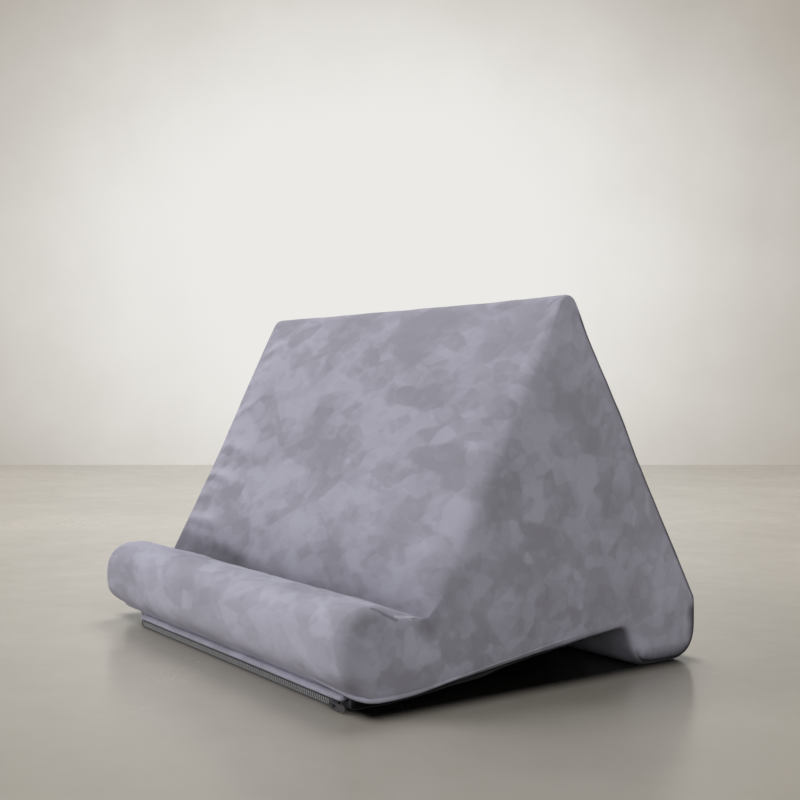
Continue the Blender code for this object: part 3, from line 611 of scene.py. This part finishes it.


# Short lines painted on the cover: dark at the end of the seam at the ridge, painted shade in the fold where
# the groove ends, and a painted highlight on its lit rim
DARK_LINES = (
    (((0.1499, 0.0172, 0.2013), (0.1469, 0.0154, 0.1993)), 0.20),
    (((0.1469, 0.0154, 0.1993), (0.1437, 0.0141, 0.1968)), 0.16),
    (((0.1472, -0.0990, 0.0502), (0.1507, -0.0945, 0.0474)), 0.38),
    (((0.1507, -0.0945, 0.0474), (0.1518, -0.0884, 0.0443)), 0.38),
    (((0.1514, -0.0784, 0.0438), (0.1515, -0.0770, 0.0438)), 0.38),
)
FOLD_RIM = ((0.1510, -0.0884, 0.0456), (0.1500, -0.0772, 0.0441))


def crushed_plush():
    finish = Finish("crushed_plush", Roughness=0.92, Sheen_Weight=0.15, Sheen_Roughness=0.4,
                    Sheen_Tint=colour(210, 208, 226), Specular_IOR_Level=0.10)
    place = finish.place()
    wide = finish.vector("MULTIPLY", place, (0.60, 1, 1))

    def patches(scale, wander, fineness):
        moved = finish.moved(wide, wander, fineness)
        cells = finish.node("ShaderNodeTexVoronoi", {"feature": "SMOOTH_F1"},
                            {"Vector": moved, "Scale": scale, "Smoothness": 0.22, "Detail": 0.0}, "Color")
        return finish.node("ShaderNodeSeparateColor", {}, {"Color": cells}, 0)

    broad = patches(48.0, 0.0034, 90)
    middle = patches(92.0, 0.0020, 170)
    small = patches(180.0, 0.0010, 330)
    drift = finish.grain(wide, 22, 1.0, 0.5).stepped(0.34, 0.66)
    crushed = (broad * 0.30 + middle * 0.28 + small * 0.18 + drift * 0.24).stepped(0.19, 0.81)
    nap = finish.grain(place, 1500, 2.0, 0.6)
    tone = finish.mixed(crushed, colour(142, 141, 152), colour(168, 167, 182))
    tone = finish.mixed((nap * 0.20).clamped(), tone, colour(130, 129, 139))
    # Painted light and shade from the sculpted mesh: lighter toward pale violet, darker toward near black
    painted_shading = finish.attribute("painted_shading")
    tone = finish.mixed(painted_shading.clamped(), tone, colour(222, 220, 238))
    tone = finish.mixed((0.0 - painted_shading).clamped(), tone, colour(38, 37, 41))
    # Painted shade from the shade attribute and the short dark lines, toward near black, and a painted
    # highlight on the fold's lit rim
    dark = finish.attribute("shade").clamped()
    for line, depth in DARK_LINES:
        dark = dark.maths("MAXIMUM", dark, finish.stroke(place, *line, 0.0002, 0.0016) * depth)
    light = finish.stroke(place, *FOLD_RIM, 0.0003, 0.0015) * 0.25
    tone = finish.mixed(light.clamped(), tone, colour(232, 230, 245))
    finish.feed("Base Color", finish.mixed(dark.clamped(), tone, colour(26, 26, 28)))
    finish.feed("Roughness", 0.88 + crushed * 0.08)
    finish.bumped(nap * 0.3 + crushed * 0.7, 0.00025, 0.4)
    return finish.material


def woven(name, dark, light, across):
    """Plain cloth with fine threads both ways."""
    finish = Finish(name, Roughness=0.9, Sheen_Weight=0.1, Specular_IOR_Level=0.15)
    place = finish.place()
    warp, weft = (finish.node("ShaderNodeTexWave", {"bands_direction": direction},
                              {"Vector": place, "Scale": 650.0, "Distortion": 0.4}, "Fac")
                  for direction in ("X", across))
    threads = weft + warp
    finish.feed("Base Color", finish.mixed((threads * 0.5).clamped(), colour(*dark), colour(*light)))
    finish.bumped(threads, 0.00008, 0.6)
    return finish.material


def grained(name, dark, light, grain_sizes, **constants):
    """A plain finish with a fine grain in its colour, and in its gloss unless its roughness is given."""
    finish = Finish(name, **constants)
    grain = finish.grain(finish.place(), *grain_sizes)
    finish.feed("Base Color", finish.mixed(grain, colour(*dark), colour(*light)))
    if "Roughness" not in constants:
        finish.feed("Roughness", 0.42 + grain * 0.16)
    return finish.material


plush = crushed_plush()
cushion.data.materials.clear()
cushion.data.materials.append(plush)

# The zip and the cloth under the cushion

ZIP_LEFT, ZIP_RIGHT = -0.10635, 0.13585
CHAIN_Y, CHAIN_HEIGHT = -0.10795, 0.0024
STOP_LENGTH, STOP_GAP = 0.0018, 0.0003
RIB_PITCH, RIB_RADIUS = 0.0021, 0.00037
FIRST_RIB = 0.00058


def swept(name, outline, left, right, steps, rounded, finish, wander=0.0):
    """A closed piece with one outline, as places in Y and Z, all along X and drawn together at its ends."""
    outline = np.array(outline)
    middle = outline.mean(0)
    along = np.concatenate([left + rounded * (1 - np.cos(np.linspace(0, math.pi / 2, 5)))[:-1],
                            np.linspace(left + rounded, right - rounded, steps),
                            right - rounded * (1 - np.cos(np.linspace(math.pi / 2, 0, 5)))[1:]])
    places, faces = [], []
    for x in along:
        short = max(rounded - (x - left), rounded - (right - x), 0) / rounded
        size = max(math.sqrt(1 - short * short), 0.25)
        sway = noise.noise(Vector((x * 70, middle[0] * 90, 0))) * wander
        places += [(x, y, z + sway) for y, z in middle + (outline - middle) * size]
    count = len(outline)
    for r in range(len(along) - 1):
        for i in range(count):
            j = (i + 1) % count
            faces.append((r * count + i, r * count + j, (r + 1) * count + j, (r + 1) * count + i))
    faces += [tuple(range(count))[::-1], tuple((len(along) - 1) * count + i for i in range(count))]
    mesh = bpy.data.meshes.new(name)
    mesh.from_pydata(places, [], faces)
    turn_outwards(mesh)
    mesh.materials.append(finish)
    mesh.shade_smooth()
    return shown(name, mesh)


def zip_row(name, up, finish, cord_finish):
    """One row of bent ribs on its cord. The two rows stand in step, so that their ribs meet tip to tip."""
    tree = bpy.data.node_groups.new(name, "GeometryNodeTree")
    tree.interface.new_socket("Geometry", in_out="OUTPUT", socket_type="NodeSocketGeometry")
    start = ZIP_LEFT + STOP_LENGTH + STOP_GAP
    end = ZIP_RIGHT - STOP_LENGTH - STOP_GAP
    count = int((end - start - 2 * FIRST_RIB) / RIB_PITCH) + 1
    sizes = (("Count", "Int", count), ("Pitch", "Float", RIB_PITCH), ("Rib Radius", "Float", RIB_RADIUS),
             ("First Rib", "Vector", (start + FIRST_RIB, CHAIN_Y, CHAIN_HEIGHT)),
             ("Root", "Vector", (-up * 0.00036, -0.00022, up * 0.00140)),
             ("Bend", "Vector", (-up * 0.00016, -0.00046, up * 0.00090)),
             ("Tip", "Vector", (0, -0.00044, up * 0.00003)),
             ("Rib Scale", "Vector", (1.35, 1, 1)),
             ("Cord Size", "Vector", (end - start, 0.0006, 0.0011)),
             ("Cord Middle", "Vector", ((start + end) / 2, CHAIN_Y + 0.00025, CHAIN_HEIGHT + up * 0.00092)),
             ("Finish", "Material", finish), ("Cord Finish", "Material", cord_finish))
    wanted = {}
    for label, kind, value in sizes:
        socket = tree.interface.new_socket(label, in_out="INPUT", socket_type="NodeSocket" + kind)
        wanted[socket.identifier] = value
    given = tree.nodes.new("NodeGroupInput").outputs

    def node(kind, settings, sockets):
        made = tree.nodes.new(kind)
        for key, value in settings.items():
            setattr(made, key, value)
        for key, value in sockets.items():
            if isinstance(value, bpy.types.NodeSocket):
                tree.links.new(value, made.inputs[key])
            else:
                made.inputs[key].default_value = value
        return made.outputs[0]

    step = node("ShaderNodeCombineXYZ", {}, {"X": given["Pitch"]})
    places = node("GeometryNodeMeshLine", {"mode": "OFFSET"},
                  {"Count": given["Count"], "Start Location": given["First Rib"], "Offset": step})
    line = node("GeometryNodeCurveQuadraticBezier", {},
                {"Resolution": 6, "Start": given["Root"], "Middle": given["Bend"], "End": given["Tip"]})
    profile = node("GeometryNodeCurvePrimitiveCircle", {}, {"Resolution": 6, "Radius": given["Rib Radius"]})
    rib = node("GeometryNodeCurveToMesh", {}, {"Curve": line, "Profile Curve": profile, "Fill Caps": True})
    ribs = node("GeometryNodeInstanceOnPoints", {},
                {"Points": places, "Instance": rib, "Scale": given["Rib Scale"]})
    ribs = node("GeometryNodeRealizeInstances", {}, {"Geometry": ribs})
    cord = node("GeometryNodeMeshCube", {}, {"Size": given["Cord Size"]})
    cord = node("GeometryNodeTransform", {}, {"Geometry": cord, "Translation": given["Cord Middle"]})
    joined = tree.nodes.new("GeometryNodeJoinGeometry")
    for piece, look in ((ribs, "Finish"), (cord, "Cord Finish")):
        painted = node("GeometryNodeSetMaterial", {}, {"Geometry": piece, "Material": given[look]})
        tree.links.new(painted, joined.inputs[0])
    tree.links.new(joined.outputs[0], tree.nodes.new("NodeGroupOutput").inputs[0])
    item = shown(name, bpy.data.meshes.new(name))
    grown = item.modifiers.new("ribs", "NODES")
    grown.node_group = tree
    for identifier, value in wanted.items():
        grown[identifier] = value
    made = finished_mesh(item)
    item.modifiers.clear()
    item.data = made
    return item


# The underside cloth is cut to the length of the arch between the ends and to its run from base to arch top
UNDERSIDE_INSET, UNDERSIDE_RUN, UNDERSIDE_TOP = 0.0055, (0.0290, 0.1685), 0.0280
UNDERSIDE_CLEARANCE, UNDERSIDE_THICKNESS, FLOOR_CLEARANCE = 0.00015, 0.0005, 0.00002


def underside_cloth(cushion, finish):
    """The thin dark cloth sewn on under the cushion, from behind the base to the top of the arch; its
    near-black tone is partly painted shade under the arch.
    """
    rest = attribute_values(cushion.data, "place_before", "vector", 3)
    setback = rest[:, 1] + MIDDLE_SETBACK
    inside = np.abs(rest[:, 0] - MIDDLE_X) < HALF_LENGTH - UNDERSIDE_INSET
    inside &= (setback > UNDERSIDE_RUN[0]) & (setback < UNDERSIDE_RUN[1]) & (rest[:, 2] < UNDERSIDE_TOP)
    bm = bmesh.new()
    bm.from_mesh(cushion.data)
    bm.verts.ensure_lookup_table()
    bmesh.ops.delete(bm, geom=[v for v in bm.verts if not inside[v.index]], context="VERTS")
    for vert in bm.verts:
        vert.co += vert.normal * UNDERSIDE_CLEARANCE
    grown = bmesh.ops.extrude_face_region(bm, geom=list(bm.faces), use_keep_orig=True)
    outer = [item for item in grown["geom"] if isinstance(item, bmesh.types.BMVert)]
    for vert in outer:
        vert.co += vert.normal * UNDERSIDE_THICKNESS
    for vert in bm.verts:
        vert.co.z = max(vert.co.z, FLOOR_CLEARANCE)
    bmesh.ops.recalc_face_normals(bm, faces=bm.faces)
    mesh = bpy.data.meshes.new("underside_cloth")
    bm.to_mesh(mesh)
    bm.free()
    mesh.materials.clear()
    mesh.materials.append(finish)
    return shown("underside_cloth", mesh)


def rolled_hem(name, path, finish):
    """A soft roll of cloth along a path of places, each with its radius."""
    curve = bpy.data.curves.new(name, "CURVE")
    curve.dimensions = "3D"
    curve.bevel_depth = 1
    curve.bevel_resolution = 3
    curve.use_fill_caps = True
    spline = curve.splines.new("NURBS")
    spline.points.add(len(path) - 1)
    for point, (*place, radius) in zip(spline.points, path):
        point.co = (*place, 1)
        point.radius = radius
    spline.order_u, spline.use_endpoint_u, spline.resolution_u = 3, True, 8
    item = shown(name, curve)
    made = finished_mesh(item)
    bpy.data.objects.remove(item)
    turn_outwards(made, merged=True)
    made.materials.clear()
    made.materials.append(finish)
    made.shade_smooth()
    return shown(name, made)


RIGHT_HEM = (
    (0.0960, -0.1105, 0.0130, 0.0004), (0.1150, -0.1098, 0.0114, 0.0008),
    (0.1300, -0.1088, 0.0100, 0.0011), (0.1420, -0.1076, 0.0088, 0.0013),
    (0.1490, -0.1054, 0.0082, 0.0014), (0.1532, -0.1010, 0.0079, 0.0014),
    (0.1537, -0.0920, 0.0080, 0.0013), (0.1535, -0.0800, 0.0084, 0.0012),
    (0.1532, -0.0680, 0.0099, 0.0010), (0.1529, -0.0550, 0.0119, 0.0009),
    (0.1527, -0.0350, 0.0147, 0.0008), (0.1526, -0.0050, 0.0190, 0.0007),
    (0.1525, 0.0250, 0.0230, 0.0006), (0.1522, 0.0450, 0.0258, 0.0004),
)
LEFT_HEM = (
    (-0.0980, -0.1065, 0.0100, 0.0006), (-0.1120, -0.1070, 0.0100, 0.0010),
    (-0.1280, -0.1068, 0.0102, 0.0013), (-0.1390, -0.1055, 0.0102, 0.0014),
    (-0.1448, -0.1020, 0.0100, 0.0014), (-0.1470, -0.0960, 0.0096, 0.0013),
    (-0.1474, -0.0860, 0.0094, 0.0012), (-0.1474, -0.0720, 0.0106, 0.0010),
    (-0.1473, -0.0450, 0.0140, 0.0008), (-0.1471, -0.0050, 0.0195, 0.0006),
)

tape_cloth = woven("zip_tape_cloth", (66, 65, 70), (86, 85, 91), "Z")
# Near-black underside weave: partly the cloth's own dark colour, partly painted shade under the arch
under_cloth = woven("underside_weave", (26, 26, 30), (38, 38, 43), "Y")
ribs_finish = grained("zip_ribs", (142, 141, 144), (170, 169, 172), (900, 2.0, 0.5), Specular_IOR_Level=0.4)
cord_finish = grained("zip_cord", (44, 43, 47), (62, 61, 66), (1200, 2.0, 0.5), Roughness=0.9,
                      Specular_IOR_Level=0.1)
metal_finish = grained("grey_metal", (64, 63, 66), (84, 83, 86), (700, 3.0, 0.6), Metallic=0.35,
                       Specular_IOR_Level=0.4)

WELT_OUTLINE = ((-0.1044, 0.0064), (-0.1056, 0.0074), (-0.1070, 0.0079), (-0.1084, 0.0077), (-0.1095, 0.0070),
                (-0.1100, 0.0061), (-0.1097, 0.0053), (-0.1088, 0.0049), (-0.1072, 0.0049), (-0.1054, 0.0053))
UPPER_TAPE_OUTLINE = ((-0.1082, 0.0041), (-0.1077, 0.0041), (-0.1077, 0.00462), (-0.1067, 0.00475),
                      (-0.1042, 0.00482), (-0.1042, 0.00528), (-0.1068, 0.00522), (-0.1080, 0.00512),
                      (-0.1082, 0.0049))
LOWER_TAPE_OUTLINE = ((-0.1082, 0.00013), (-0.1053, 0.00013), (-0.1053, 0.00058), (-0.1082, 0.00058))
welt = swept("zip_welt_band", WELT_OUTLINE, ZIP_LEFT - 0.0005, ZIP_RIGHT + 0.0010, 70, 0.0026, plush, 0.00018)
upper_tape, lower_tape = (swept(name, outline, ZIP_LEFT, ZIP_RIGHT, 40, 0.0006, tape_cloth)
                          for name, outline in (("zip_tape_band_upper", UPPER_TAPE_OUTLINE),
                                                ("zip_tape_band_lower", LOWER_TAPE_OUTLINE)))
upper_row = zip_row("zip_ribs_upper", 1, ribs_finish, cord_finish)
lower_row = zip_row("zip_ribs_lower", -1, ribs_finish, cord_finish)
underside = underside_cloth(cushion, under_cloth)
hems = [rolled_hem("rolled_hem_right", RIGHT_HEM, plush), rolled_hem("rolled_hem_left", LEFT_HEM, plush)]
for node in ("zip_slider", "zip_pull", "zip_top_stop_upper", "zip_top_stop_lower", "zip_bottom_stop"):
    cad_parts[node].material_slots[0].material = metal_finish

# Stage and light


def stage_plate(name, corners, material):
    plate = bpy.data.meshes.new(name)
    plate.from_pydata(corners, [], [tuple(range(len(corners)))])
    plate.materials.append(material)
    shown(name, plate)


FORWARD = Vector((-math.sin(CAMERA_HEADING), math.cos(CAMERA_HEADING), 0))
SIDEWAYS = Vector((FORWARD.y, -FORWARD.x, 0))
WALL_DISTANCE = 2.256
WALL_FOOT = Vector((camera.location.x, camera.location.y, 0)) + FORWARD * WALL_DISTANCE
HALF_WIDTH, FLOOR_DEPTH, WALL_HEIGHT = 4, 6, 3
WARM_WHITE = colour(236, 234, 230)


def floor_finish():
    """Smooth warm grey concrete, a little glossy, with soft clouds in its tone."""
    finish = Finish("smooth_floor", Specular_IOR_Level=0.5)
    place = finish.place()
    clouds = finish.grain(place, 3.5, 6.0, 0.62).stepped(0.3, 0.7)
    specks = finish.grain(place, 34, 6.0, 0.65)
    tone = finish.mixed((clouds * 0.5 + specks * 0.5).clamped(), colour(163, 157, 146), colour(201, 196, 187))
    # Painted shade: the floor is darker towards the camera
    near = 1.0 - finish.along(place, FORWARD).stepped(-0.75, 0.60)
    tone = finish.mixed(near, tone, colour(147, 142, 133))
    # Painted shadow: the floor right under the cushion is painted near black, where light doesn't reach
    across = finish.vector("ABSOLUTE", finish.vector("SUBTRACT", place, (MIDDLE_X, 0.004, 0)), (0, 0, 0))
    x, y = finish.part(across, "X").stepped(0.146, 0.165), finish.part(across, "Y").stepped(0.104, 0.116)
    under = (1.0 - x) * (1.0 - y)
    finish.feed("Base Color", finish.mixed(under, tone, colour(18, 17, 15)))
    finish.feed("Roughness", 0.18 + clouds * 0.10)
    finish.bumped(specks, 0.0004, 0.3)
    return finish.material


def wall_finish():
    """A plain plastered wall with a painted pool of light, lightest at its middle. Camera and mirror rays see
    it glow in its own painted colour.
    """
    finish = Finish("plain_wall", Roughness=1.0, Specular_IOR_Level=0.0)
    place = finish.place()
    centre = WALL_FOOT - SIDEWAYS * 0.06 + Vector((0, 0, 0.40))
    away = finish.vector("SUBTRACT", place, tuple(centre))
    away = finish.length(finish.vector("MULTIPLY", away, (1.0, 1.0, 1.3)))
    clouds = finish.grain(place, 5.0, 6.0, 0.6) - 0.5
    fade = (away + clouds * 0.16).stepped(0.30, 1.10)
    tone = finish.mixed(fade, WARM_WHITE, colour(174, 167, 157))
    finish.feed("Base Color", finish.mixed(fade, WARM_WHITE, colour(214, 210, 203)))
    seen = finish.node("ShaderNodeLightPath", {}, {}, "Is Camera Ray")
    mirrored = finish.node("ShaderNodeLightPath", {}, {}, "Is Glossy Ray")
    glow = finish.node("ShaderNodeEmission", {}, {"Color": tone, "Strength": 1.0})
    plain = Value(finish, finish.shader.outputs["BSDF"])
    shown_as = finish.node("ShaderNodeMixShader", {}, {"Fac": (seen + mirrored).clamped(), 1: plain, 2: glow})
    finish.tree.links.new(shown_as.socket, finish.tree.nodes["Material Output"].inputs["Surface"])
    return finish.material


def corner_at(sideways, forward, height):
    return tuple(WALL_FOOT + SIDEWAYS * sideways + FORWARD * forward + Vector((0, 0, height)))


near_edge, wall_foot, wall_top = ([corner_at(side * HALF_WIDTH, *rest) for side in (LEFT, RIGHT)]
                                  for rest in ((-FLOOR_DEPTH, 0), (0, 0), (0, WALL_HEIGHT)))
stage_plate("floor", near_edge + wall_foot[::-1], floor_finish())
stage_plate("wall", wall_foot + wall_top[::-1], wall_finish())

world = bpy.data.worlds.new("soft_room")
world.use_nodes = True
background = world.node_tree.nodes["Background"].inputs
background["Color"].default_value, background["Strength"].default_value = WARM_WHITE, 0.36
bpy.context.scene.world = world


def soft_lamp(name, place, aim, size, power, mirrored=True):
    """A round lamp at a place, turned to its aim. One that isn't mirrored leaves no glare on the floor."""
    lamp = bpy.data.lights.new(name, "AREA")
    lamp.shape, lamp.size, lamp.energy = "DISK", size, power
    item = shown(name, lamp)
    item.location = place
    item.rotation_euler = (Vector(aim) - Vector(place)).to_track_quat("-Z", "Y").to_euler()
    item.visible_glossy = mirrored


soft_lamp("window_light", (-1.1, -1.7, 1.15), (0, 0, 0.08), 1.1, 19.5)
soft_lamp("low_fill", (-0.5, -2.0, 0.28), (0, 0, 0.03), 0.9, 12, mirrored=False)
soft_lamp("ceiling_light", (-0.9, 0.8, 2.0), (0, 0, 0), 1.2, 26)
soft_lamp("side_fill", (2.0, -0.5, 1.25), (0, 0, 0.08), 1.6, 17.5)
bpy.context.scene.view_settings.view_transform = "Standard"

# Attach the pieces to the cushion, hiding the CAD nodes they stand for

HANDED_OVER = (
    (cushion, "plush", ("cover_front_panel", "cover_lip_panel", "cover_foot_panel", "cover_back_panel",
                        "cover_end_panel_left", "cover_end_panel_right", "foam_wedge", "foam_front_roll",
                        "foam_rear_roll")),
    (underside, "under_cloth", ("cover_underside_panel",)),
    (welt, "plush", ("zip_welt",)),
    (upper_tape, "zip_tape", ("zip_tape_upper",)),
    (lower_tape, "zip_tape", ("zip_tape_lower",)),
    (upper_row, "zip_teeth", ("zip_teeth_upper",)),
    (lower_row, "zip_teeth", ("zip_teeth_lower",)),
    *((hem, "plush", ()) for hem in hems),
)
for item, material_slot, nodes in HANDED_OVER:
    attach(item, "cushion")
    if nodes:
        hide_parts(*nodes)
